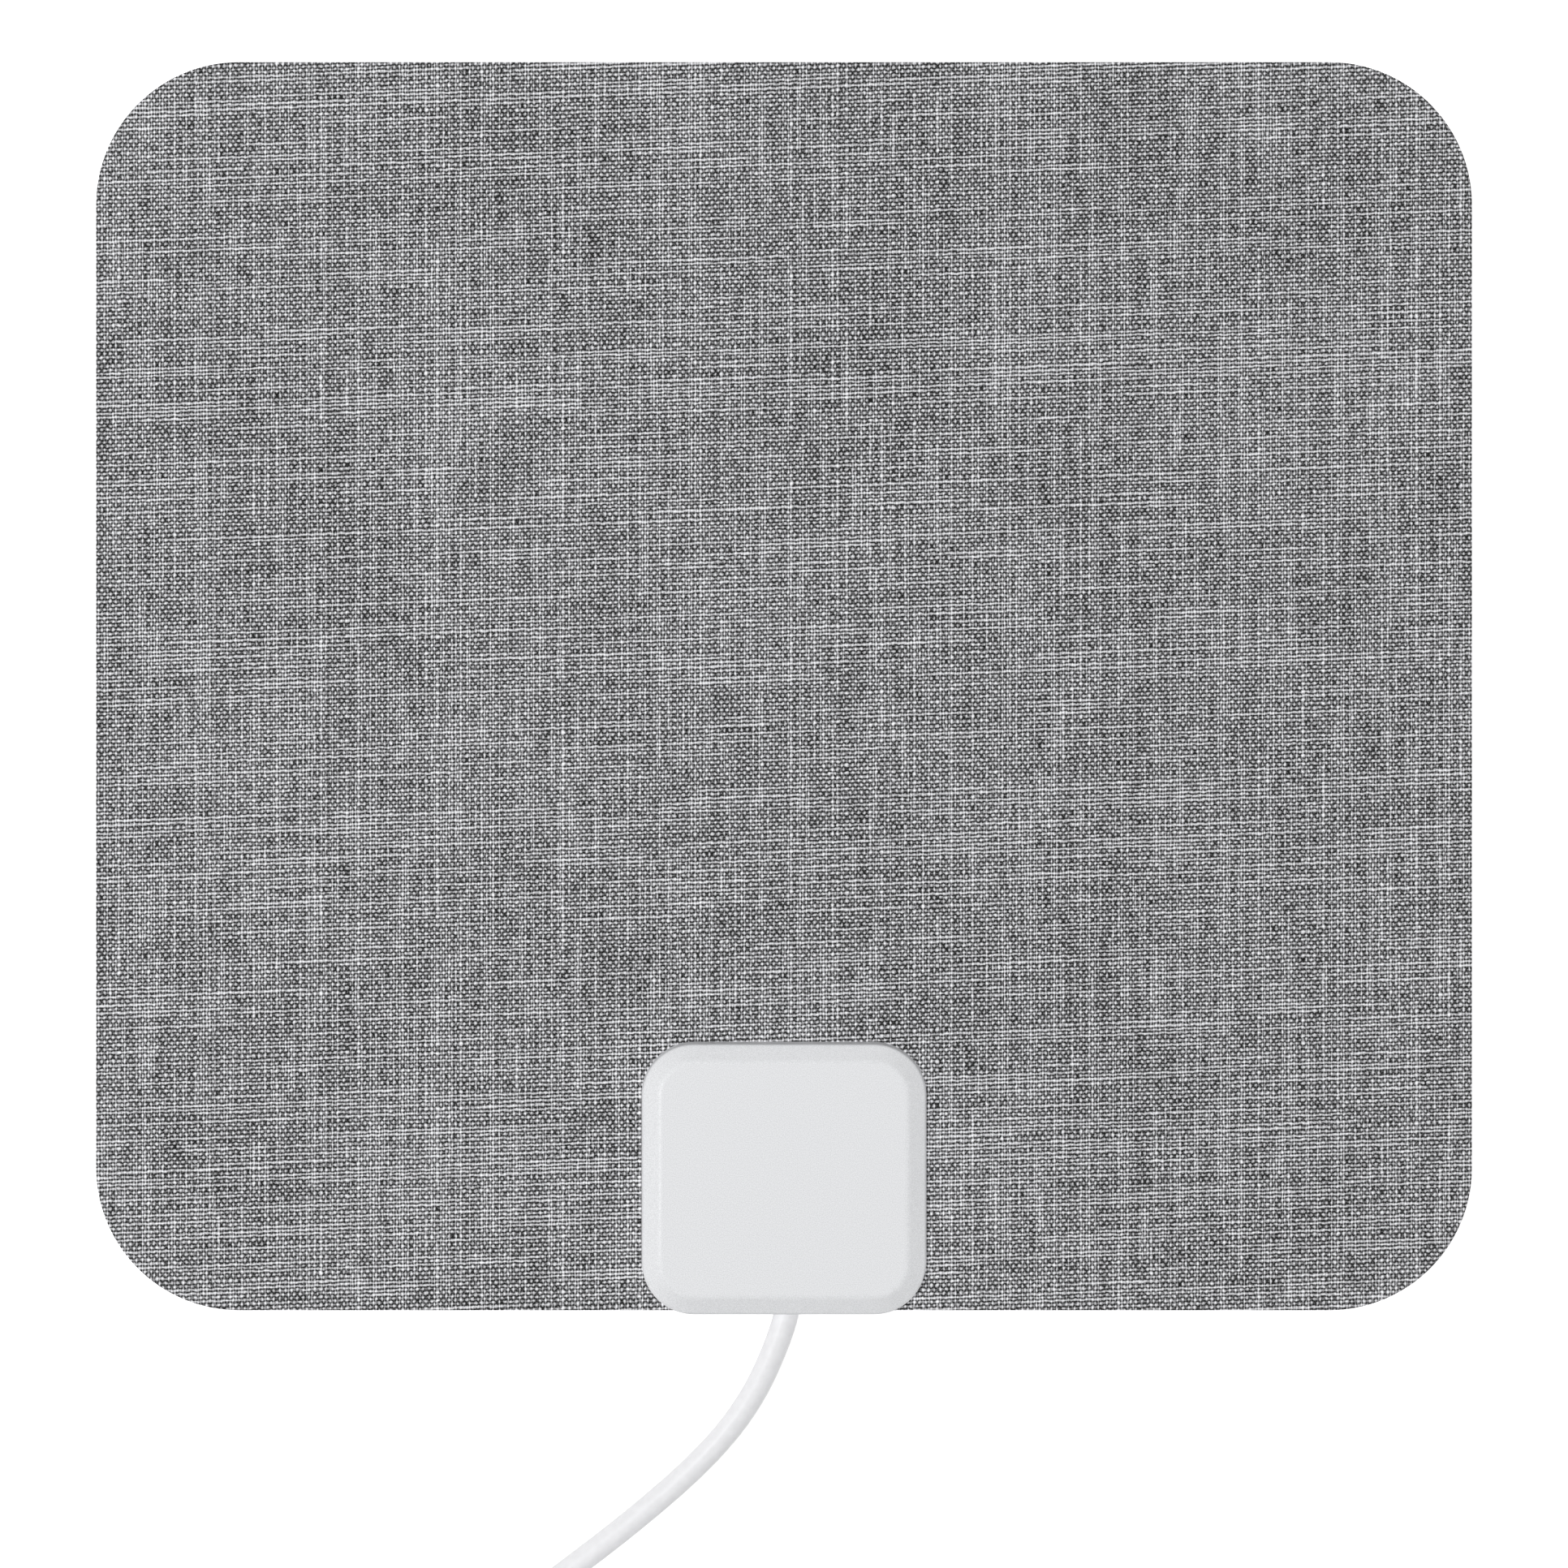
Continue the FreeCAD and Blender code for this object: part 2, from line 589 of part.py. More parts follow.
def cable_ground_clip():
    """A saddle over the braid with a foot on the board at each side."""
    inner = BRAID_D / 2 + CLIP_CLEARANCE
    outer = inner + CLIP_T
    leg = CABLE_Z - BOARD_TOP
    foot = outer + CLIP_FOOT
    y = BOARD_EDGE_Y + CLIP_EDGE_GAP
    hoop = rod(V(CABLE_X, y, CABLE_Z), V(0, 1, 0), 2 * outer, CLIP_W)
    hoop = hoop.common(Part.makeBox(2 * outer, CLIP_W, outer, V(CABLE_X - outer, y, CABLE_Z)))
    legs = Part.makeBox(2 * outer, CLIP_W, leg, V(CABLE_X - outer, y, BOARD_TOP))
    feet = Part.makeBox(2 * foot, CLIP_W, CLIP_T, V(CABLE_X - foot, y, BOARD_TOP))
    gap = Part.makeBox(2 * inner, CLIP_W, leg, V(CABLE_X - inner, y, BOARD_TOP))
    saddle = joined([hoop, legs, feet])
    return saddle.cut([gap, rod(V(CABLE_X, y, CABLE_Z), V(0, 1, 0), 2 * inner, CLIP_W)])


# Cable outside the housing

def lead_points():
    """The points of the cable from its stripped end to the coil."""
    drop = CABLE_Z - FLOOR_Z
    return [V(x, EDGE_Y + y, FLOOR_Z + share * drop) for x, y, share in LEAD_ROUTE]


def coil_frame():
    """Where the cable runs on to the coil, which way, and the coil's middle."""
    points = lead_points()
    heading = (points[-1] - points[-2]).normalize()
    touch = points[-1] + heading * COIL_SPUR
    middle = touch + V(-heading.y, heading.x, 0) * COIL_OUTER_R
    return touch, heading, V(middle.x, middle.y, 0)


def tail_points():
    """The points of the cable from the coil to the back of the plug."""
    touch, heading, middle = coil_frame()
    start = V(middle.x + COIL_SPUR, middle.y - COIL_OUTER_R, 0)
    drop = COIL_TOP_Z - PLUG_COLLAR_R
    return [start + V(x, y, PLUG_COLLAR_R + share * drop) for x, y, share in TAIL_ROUTE]


def cable_tube(points, name):
    """The cable along straight runs and arcs that are as wide as the runs allow."""
    radii = [0]
    for before, corner, after in zip(points, points[1:], points[2:]):
        run = min((corner - before).Length, (after - corner).Length)
        half_turn = (corner - before).getAngle(after - corner) / 2
        radii.append(RUN_SHARE * run / math.tan(half_turn))
    radii.append(0)
    tube = wire_solid(points, radii, CABLE_D)
    length = blended_wire(points, radii, False).Length
    section = math.pi * CABLE_D ** 2 / 4
    print(name, "bend radii", [round(radius, 1) for radius in radii[1:-1]], "length", round(length, 1),
          "volume over section times length", round(tube.Volume / (section * length), 4))
    return tube


def coil_section(inset):
    """The outline of the coil's bundle, made smaller by an inset, as radius and level."""
    low = inset
    high = COIL_LAYERS * CABLE_D + 2 * COIL_SLACK - inset
    near = COIL_INNER_R - CABLE_D / 2 - COIL_SLACK + inset
    far = COIL_OUTER_R + CABLE_D / 2 + COIL_SLACK - inset
    return (near, low), (far, low), (far, high), (near, high)


def coil_sector(inset, start_angle, span):
    """The bundle's section turned about the coil's middle from a start angle through a span."""
    touch, heading, middle = coil_frame()
    points = [V(r, 0, z) for r, z in coil_section(inset)]
    face = Part.Face(blended_wire(points, [COIL_EDGE_R - inset] * 4, True))
    sector = face.revolve(V(0, 0, 0), UP, span)
    sector.Placement = FreeCAD.Placement(middle, FreeCAD.Rotation(UP, start_angle))
    return sector


def coil_tie():
    """The band round the bundle, flush with the coil's outside."""
    start = TIE_ANGLE - TIE_SPAN / 2
    return coil_sector(0, start, TIE_SPAN).cut(coil_sector(TIE_T, start, TIE_SPAN))


def cable_coil():
    """The coil's outside with a short straight spur at each end, narrower where the tie sits."""
    touch, heading, middle = coil_frame()
    open_turn = coil_sector(0, TIE_ANGLE + TIE_SPAN / 2, 360 - TIE_SPAN)
    tied_turn = coil_sector(TIE_T, TIE_ANGLE - TIE_SPAN / 2, TIE_SPAN)
    lead_spur = rod(touch, heading * -1, CABLE_D, COIL_SPUR)
    tail_start = V(middle.x, middle.y - COIL_OUTER_R, COIL_TOP_Z)
    tail_spur = rod(tail_start, V(1, 0, 0), CABLE_D, COIL_SPUR)
    return joined([open_turn, tied_turn, lead_spur, tail_spur])


# Plug

def plug_turned(outline, radii):
    """A solid of revolution along the plug's axis, from outline points of radius and distance."""
    return turned(outline, radii, tail_points()[-1], V(1, 0, 0))


def plug_levels():
    """Distances along the plug: end of the boot, of the grip, of the collar and of the sleeve."""
    grip = PLUG_BOOT_L
    collar = grip + PLUG_GRIP_L
    sleeve = collar + PLUG_COLLAR_L
    return grip, collar, sleeve, sleeve + SLEEVE_L


def plug_body():
    """The moulded grip: a tapered boot, a grooved grip and a collar, bored for the sleeve's root."""
    grip, collar, sleeve, tip = plug_levels()
    pitch = PLUG_GRIP_L / (PLUG_GROOVES + 1)
    outline = [(0, 0), (PLUG_BOOT_R, 0), (PLUG_BOOT_ROOT_R, grip), (PLUG_GRIP_WAIST_R, grip)]
    radii = [0, PLUG_EDGE_R, 0, PLUG_EDGE_R]
    slope = (PLUG_GRIP_R - PLUG_GRIP_WAIST_R) / PLUG_GRIP_L
    for groove in range(1, PLUG_GROOVES + 1):
        for shift in (-PLUG_GROOVE_W / 2, PLUG_GROOVE_W / 2):
            level = grip + groove * pitch + shift
            radius = PLUG_GRIP_WAIST_R + slope * (level - grip)
            pair = [(radius, level), (radius - PLUG_GROOVE_DEPTH, level)]
            outline += pair if shift < 0 else pair[::-1]
            radii += [0, 0]
    outline += [(PLUG_GRIP_R, collar), (PLUG_COLLAR_R, collar), (PLUG_COLLAR_R, sleeve), (0, sleeve)]
    radii += [0, PLUG_EDGE_R, PLUG_EDGE_R, 0]
    body = plug_turned(outline, radii)
    root_r = SLEEVE_R - SLEEVE_ROOT_STEP
    start = sleeve - SLEEVE_ROOT_L
    bore = ((0, start), (root_r, start), (root_r, sleeve + 1), (0, sleeve + 1))
    return body.cut(plug_turned(bore, [0] * 4))


def plug_shell():
    """The slotted sleeve, its root stepped down inside the body."""
    grip, collar, sleeve, tip = plug_levels()
    inner = SLEEVE_R - SLEEVE_WALL
    root_r = SLEEVE_R - SLEEVE_ROOT_STEP
    outline = ((inner, sleeve - SLEEVE_ROOT_L), (root_r, sleeve - SLEEVE_ROOT_L), (root_r, sleeve),
               (SLEEVE_R, sleeve), (SLEEVE_R, tip - SLEEVE_CHAMFER), (SLEEVE_R - SLEEVE_CHAMFER, tip),
               (inner, tip))
    shell = plug_turned(outline, [0] * 7)
    back = tail_points()[-1]
    start = tip - SLEEVE_SLOT_L
    slots = []
    for slot in range(SLEEVE_SLOTS):
        cut = Part.makeBox(SLEEVE_SLOT_L + 1, SLEEVE_SLOT_W, SLEEVE_R + 1,
                           back + V(start, -SLEEVE_SLOT_W / 2, 0))
        cut.rotate(back, V(1, 0, 0), 360 * (slot + 0.5) / SLEEVE_SLOTS)
        slots.append(cut)
    return shell.cut(slots)


def plug_insulator():
    """The insulating disc between sleeve and pin."""
    grip, collar, sleeve, tip = plug_levels()
    inner = SLEEVE_R - SLEEVE_WALL
    start = sleeve - SLEEVE_ROOT_L
    end = sleeve + INSULATOR_FRONT
    outline = ((PIN_D / 2, start), (inner, start), (inner, end), (PIN_D / 2, end))
    return plug_turned(outline, [0] * 4)


def plug_pin():
    """The centre pin with a rounded tip, a little behind the sleeve's end."""
    grip, collar, sleeve, tip = plug_levels()
    radius = PIN_D / 2
    end = tip - PIN_RECESS
    outline = ((0, sleeve - SLEEVE_ROOT_L), (radius, sleeve - SLEEVE_ROOT_L), (radius, end), (0, end))
    return plug_turned(outline, (0, 0, radius * 0.8, 0))


# All pieces, one file for each

def pieces():
    """Every node's name and shape."""
    foils = [foil_element(-1), foil_element(1)]
    return {
        "cloth_face": cloth_face(),
        "back_sheet": back_sheet(foils),
        "foil_element_left": foils[0],
        "foil_element_right": foils[1],
        "housing_front": housing_front(),
        "housing_rear": housing_rear(),
        "housing_screws": housing_screws(),
        "circuit_board": circuit_board(),
        "board_screws": board_screws(),
        "contact_spring_left": contact_spring(-1),
        "contact_spring_right": contact_spring(1),
        "balun_core": balun_core(),
        "balun_antenna_winding": winding(ANTENNA_TURNS, WIRE_SPREAD, ANTENNA_REACH, 1),
        "balun_cable_winding": winding(CABLE_TURNS, -WIRE_SPREAD, CABLE_REACH, -1),
        "cable_ground_clip": cable_ground_clip(),
        "cable_braid": cable_braid(),
        "cable_dielectric": cable_dielectric(),
        "cable_conductor": cable_conductor(),
        "cable_lead": cable_tube(lead_points(), "cable_lead"),
        "cable_coil": cable_coil(),
        "cable_tail": cable_tube(tail_points(), "cable_tail"),
        "coil_tie": coil_tie(),
        "plug_body": plug_body(),
        "plug_shell": plug_shell(),
        "plug_insulator": plug_insulator(),
        "plug_pin": plug_pin(),
    }


os.makedirs("parts", exist_ok=True)
for name, shape in pieces().items():
    shape.exportStep(os.path.join("parts", name + ".step"))
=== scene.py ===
import math

import bpy
import numpy as np
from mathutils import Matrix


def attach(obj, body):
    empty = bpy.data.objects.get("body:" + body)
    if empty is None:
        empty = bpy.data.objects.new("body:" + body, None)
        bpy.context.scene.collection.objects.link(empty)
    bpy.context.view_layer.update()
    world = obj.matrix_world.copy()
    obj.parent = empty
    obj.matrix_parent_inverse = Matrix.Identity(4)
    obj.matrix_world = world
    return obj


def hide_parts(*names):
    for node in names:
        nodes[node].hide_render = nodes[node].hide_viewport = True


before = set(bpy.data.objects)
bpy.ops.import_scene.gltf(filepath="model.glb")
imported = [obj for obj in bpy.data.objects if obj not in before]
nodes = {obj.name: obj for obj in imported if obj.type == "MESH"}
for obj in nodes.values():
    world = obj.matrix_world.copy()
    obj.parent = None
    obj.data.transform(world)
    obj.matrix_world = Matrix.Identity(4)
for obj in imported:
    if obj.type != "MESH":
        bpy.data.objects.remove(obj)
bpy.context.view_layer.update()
scene = bpy.context.scene
scene.view_settings.view_transform = "Standard"

# Lengths are in metres, or in millimetres where their name ends in _MM or _mm
MM = 0.001

# Camera, straight above the cloth
PICTURE_W = 0.23926
PICTURE_MIDDLE_Y = -0.01493
CAMERA_HEIGHT = 1.2
CAMERA_REACH = 20.0
FILM_MM = 36.0

# Cable, with its route from the circuit board to the coil and from the coil to the plug
CABLE_D = 0.0038
LEAD_POINTS = (
    (0.00140, -0.08350, 0.00600),
    (0.00140, -0.09230, 0.00600),
    (-0.00128, -0.10113, 0.00560),
    (-0.00570, -0.11015, 0.00432),
    (-0.01275, -0.11855, 0.00296),
    (-0.02370, -0.12805, 0.00200),
    (-0.03480, -0.13645, 0.00200),
)
TAIL_POINTS = (
    (-0.015276, -0.194609, 0.01340),
    (-0.006076, -0.194609, 0.01340),
    (0.004124, -0.195009, 0.00985),
    (0.014524, -0.195609, 0.00600),
    (0.023724, -0.195609, 0.00600),
)
CABLE_STEPS_A_POINT = 6
CABLE_ROUNDING = 4

# Coil of the cable, wound from the floor up, and its tie
COIL_MIDDLE = (-0.032276, -0.167959)
COIL_OUTER_R = 0.02665
COIL_INNER_R = 0.01715
COIL_FLOOR_Z = 0.0020
COIL_LAYERS = 4
COIL_TURNS_A_LAYER = 2.5
COIL_START_DEG = 127.11
COIL_END_DEG = 270.0
COIL_WHOLE_TURNS = 10
COIL_TURNS = COIL_WHOLE_TURNS + (COIL_END_DEG - COIL_START_DEG) / 360
COIL_POINTS_A_TURN = 16
TIE_ANGLE = math.radians(40.0)
TIE_REACH = math.radians(24.0)
TIE_PINCH = 0.085

# Cloth, laminated on the sheet and clamped under the housing
CLOTH_W = 0.210
CLOTH_L = 0.1905
CLOTH_CORNER_R = 0.0218
CLOTH_TOP = 0.0032
CLOTH_BOTTOM = 0.0026
CLOTH_EDGE_R = 0.00025
CORNER_STEPS = 28
EDGE_STEPS = 6

# Holes in the cloth for the screw bosses and the contact springs. A boss hole is a rounded square with
# next to no straight sides
BOSS_HOLE_R = 0.0024
BOSS_HOLE_ROUND = 0.9999
BOSS_HOLE_STEPS = 8
BOSS_HOLES = ((-0.01575, -0.08965), (0.01575, -0.08965), (-0.01575, -0.06025), (0.01575, -0.06025))
WINDOW_W = 0.0095
WINDOW_L = 0.0046
WINDOW_R = 0.0008
WINDOW_STEPS = 5
CONTACT_WINDOWS = ((-0.00655, -0.07095), (0.00655, -0.07095))

# Weave of the cloth, warps first and wefts second. The yarns' pitch, then how far the grid drifts and crowds
YARN_PITCH_MM = (0.446, 0.61, 1.0)
WEFT_SLOPE = math.tan(math.radians(2.2))
DRIFT_MM = 0.95
DRIFT_YARNS = (0.34, 0.36, 0.0)
CROWD_MM = (0.6, 1.9)
CROWD_YARNS = (0.65, 0.40, 0.0)

# How far apart neighbouring yarns lie in the noise, the length of what comes and goes along a yarn, and the
# lots that make a yarn pale, from not at all to wholly
YARN_APART = 6.43
RUN_MM = (13.0, 17.0)
SLUBS_A_RUN = (9.5, 12.0)
RUN_LOT = (1.8, 1.4)
PALE_LOTS = ((1.22, 1.74), (1.27, 1.63))

# Tones of the weave, from 0 for black to 1 for white: the yarns' backs, what varies them, the beads' painted
# light and shade, and the painted shade in the gaps
BACK_TONE = (0.16, 0.36, 0.0)
SLUB_TONE = (0.30, 0.36, 0.0)
RUN_TONE = (0.10, 0.16, 0.0)
PALE_TONE = (0.175, 0.14, 0.0)
BEAD_LIGHT_AND_SHADE = 0.245
PALE_FLAT = 0.6
CLOUD_MM = 30.0
CLOUD_TONE = 0.06
FRAY_MM = 0.23
FRAY_TONE = 0.36
GAP_SHADE_TONE = 0.112
CLOTH_TONES = (
    (0.0, "#0E0E0E"),
    (0.175, "#292929"),
    (0.25, "#505051"),
    (0.40, "#8A8A8C"),
    (0.535, "#B3B3B5"),
    (0.62, "#C6C6C9"),
    (0.77, "#DFDFE2"),
    (1.0, "#FBFBFE"),
)
YARN_DEPTH_MM = 0.06

# Materials: the range in which most of a noise lies, and the usual index of refraction of a plastic
NOISE_LOW = 0.3
NOISE_HIGH = 0.7
PLASTIC_IOR = 1.53

# Floor, with a glow that is seen but lights nothing and lifts the paper to white where no shadow falls
FLOOR_HALF = 3.0
FLOOR_Z = -0.0001
PAPER_GLOW = 0.5

# Light: the dome's share of the plain level, then each lamp's name, the way to it, its size, the share
# that it gives a surface facing up, and whether it casts shadows and shows in highlights
DOME_SHARE = 0.28
LAMP_REACH = 1.4
LAMPS = (
    ("overhead", (-0.06, 0.00, 1.0), 0.08, 0.40, True, False),
    ("left", (-2.00, 0.25, 1.0), 0.40, 0.10, False, False),
    ("glint", (-0.62, 0.05, 1.0), 0.12, 0.18, False, True),
    ("right", (3.20, -0.20, 1.0), 0.40, 0.05, False, False),
)


# Shapes

def coil_points():
    """Control points of the coil's turns: angle grows evenly, radius goes in and out by one layer's width a
    layer, height steps up one diameter between layers, and both draw in where the tie sits. The points stand
    outside the turns by the cosine of half a step, so that the spline runs on the turns."""
    count = round(COIL_TURNS * COIL_POINTS_A_TURN)
    turns = (np.arange(count) + 0.5) * COIL_TURNS / count
    step = (COIL_TURNS - COIL_LAYERS * COIL_TURNS_A_LAYER) / (COIL_LAYERS - 1)
    starts = np.arange(COIL_LAYERS) * (COIL_TURNS_A_LAYER + step)
    marks = np.stack([starts, starts + COIL_TURNS_A_LAYER], axis=1).ravel()
    ends = np.array([COIL_OUTER_R, COIL_INNER_R, COIL_INNER_R, COIL_OUTER_R] * (COIL_LAYERS // 2))
    levels = np.repeat(COIL_FLOOR_Z + np.arange(COIL_LAYERS) * CABLE_D, 2)
    radius = np.interp(turns, marks, ends)
    height = np.interp(turns, marks, levels)
    angle = math.radians(COIL_START_DEG) + turns * math.tau
    off_tie = np.abs((angle - TIE_ANGLE + math.pi) % math.tau - math.pi)
    pinch = 1.0 - TIE_PINCH * np.clip(1.0 - off_tie / TIE_REACH, 0.0, 1.0)
    mean_r = (COIL_OUTER_R + COIL_INNER_R) / 2
    mean_z = COIL_FLOOR_Z + (COIL_LAYERS - 1) * CABLE_D / 2
    radius = mean_r + (radius - mean_r) * pinch
    height = mean_z + (height - mean_z) * pinch
    radius = radius / math.cos(math.pi / COIL_POINTS_A_TURN)
    x = COIL_MIDDLE[0] + radius * np.cos(angle)
    y = COIL_MIDDLE[1] + radius * np.sin(angle)
    return np.stack([x, y, height], axis=1)


def cable_curve():
    """The cable: one smooth spline through the lead's points, the coil's turns and the tail's points."""
    points = np.concatenate([np.array(LEAD_POINTS), coil_points(), np.array(TAIL_POINTS)])
    curve = bpy.data.curves.new("cable", "CURVE")
    curve.dimensions = "3D"
    spline = curve.splines.new("NURBS")
    spline.points.add(len(points) - 1)
    weighted = np.concatenate([points, np.ones((len(points), 1))], axis=1)
    spline.points.foreach_set("co", weighted.ravel())
    spline.order_u = 3
    spline.use_endpoint_u = True
    spline.resolution_u = CABLE_STEPS_A_POINT
    curve.bevel_depth = CABLE_D / 2
    curve.bevel_resolution = CABLE_ROUNDING
    curve.use_fill_caps = True
    piece = bpy.data.objects.new("cable", curve)
    scene.collection.objects.link(piece)
    return piece


def rounded_outline(width, length, corner, steps):
    """Points round a rounded rectangle, counter-clockwise: each corner's middle plus a quarter circle,
    and the straight sides are what joins one corner to the next."""
    turn = np.linspace(0.0, math.pi / 2, steps)
    angle = (turn[None, :] + np.arange(4)[:, None] * math.pi / 2).ravel()
    side_x = np.repeat([1.0, -1.0, -1.0, 1.0], steps)
    side_y = np.repeat([1.0, 1.0, -1.0, -1.0], steps)
    x = side_x * (width / 2 - corner) + corner * np.cos(angle)
    y = side_y * (length / 2 - corner) + corner * np.sin(angle)
    return x, y


def carried_sheet(name, width, length, corner, steps, insets, levels):
    """A closed slab: the outline of a rounded rectangle drawn in by each inset, at each level, joined ring to
    ring as a grid, with the first and the last ring filled."""
    rings = [rounded_outline(width - 2 * d, length - 2 * d, corner - d, steps) for d in insets]
    x = np.stack([ring[0] for ring in rings])
    y = np.stack([ring[1] for ring in rings])
    z = np.repeat(np.array(levels)[:, None], x.shape[1], axis=1)
    index = np.arange(x.size).reshape(x.shape)
    ahead = np.roll(index, -1, axis=1)
    quads = np.stack([index[:-1], ahead[:-1], ahead[1:], index[1:]], axis=2).reshape(-1, 4)
    faces = quads.tolist() + [index[0, ::-1].tolist(), index[-1].tolist()]
    mesh = bpy.data.meshes.new(name)
    mesh.from_pydata(np.stack([x.ravel(), y.ravel(), z.ravel()], axis=1).tolist(), [], faces)
    mesh.update()
    piece = bpy.data.objects.new(name, mesh)
    scene.collection.objects.link(piece)
    return piece


def cloth_sheet():
    """The cloth: a thin sheet whose cut edge is rounded over at the top by a quarter circle, with the holes
    that the bosses and the contact springs pass through cut out of it."""
    turn = np.linspace(0.0, math.pi / 2, EDGE_STEPS)
    insets = np.concatenate([[0.0], CLOTH_EDGE_R * (1 - np.cos(turn))])
    levels = np.concatenate([[CLOTH_BOTTOM], CLOTH_TOP - CLOTH_EDGE_R * (1 - np.sin(turn))])
    cloth = carried_sheet("cloth", CLOTH_W, CLOTH_L, CLOTH_CORNER_R, CORNER_STEPS, insets, levels)
    through = ([0.0, 0.0], [CLOTH_BOTTOM - MM, CLOTH_TOP + MM])
    boss = ("hole", 2 * BOSS_HOLE_R, 2 * BOSS_HOLE_R, BOSS_HOLE_R * BOSS_HOLE_ROUND, BOSS_HOLE_STEPS)
    window = ("window", WINDOW_W, WINDOW_L, WINDOW_R, WINDOW_STEPS)
    cutters = []
    for outline, places in ((boss, BOSS_HOLES), (window, CONTACT_WINDOWS)):
        for place in places:
            cutter = carried_sheet(*outline, *through)
            cutter.location = (*place, 0.0)
            cutters.append(cutter)
            cut = cloth.modifiers.new("cut", "BOOLEAN")
            cut.operation = "DIFFERENCE"
            cut.solver = "EXACT"
            cut.object = cutter
    graph = bpy.context.evaluated_depsgraph_get()
    cut_mesh = bpy.data.meshes.new_from_object(cloth.evaluated_get(graph))
    cloth.modifiers.clear()
    cloth.data = cut_mesh
    for cutter in cutters:
        bpy.data.objects.remove(cutter)
    return cloth


# Materials

def linear(hex_colour):
    """An sRGB hex colour as the linear colour that a shader's socket takes."""
    srgb = np.array([int(hex_colour[k:k + 2], 16) for k in (1, 3, 5)]) / 255
    rgb = np.where(srgb <= 0.04045, srgb / 12.92, ((srgb + 0.055) / 1.055) ** 2.4)
    return (*rgb.tolist(), 1.0)


def feed(tree, node, inputs):
    """Gives a node's sockets their values, or links them to the outputs that feed them."""
    for key, value in inputs.items():
        if isinstance(value, bpy.types.NodeSocket):
            tree.links.new(value, node.inputs[key])
        else:
            node.inputs[key].default_value = value


def add(tree, kind, settings, inputs):
    """Adds a node with its settings and links, and gives back its outputs."""
    node = tree.nodes.new(kind)
    for name, value in settings.items():
        setattr(node, name, value)
    feed(tree, node, inputs)
    return node.outputs


def start_material(name):
    """A new material: its tree, its shader and the piece's own coordinates in millimetres."""
    material = bpy.data.materials.new(name)
    material.use_nodes = True
    tree = material.node_tree
    place = add(tree, "ShaderNodeTexCoord", {}, {})["Object"]
    in_mm = add(tree, "ShaderNodeVectorMath", {"operation": "SCALE"}, {0: place, "Scale": 1 / MM})[0]
    return material, tree, tree.nodes["Principled BSDF"], in_mm


def tinted(tree, noise, dark, pale):
    """A colour that follows a noise from dark to pale over the range in which most of the noise lies."""
    share = add(tree, "ShaderNodeMapRange", {},
                {"Value": noise, "From Min": NOISE_LOW, "From Max": NOISE_HIGH})[0]
    return add(tree, "ShaderNodeMix", {"data_type": "RGBA"},
               {"Factor": share, 6: linear(dark), 7: linear(pale)})[2]


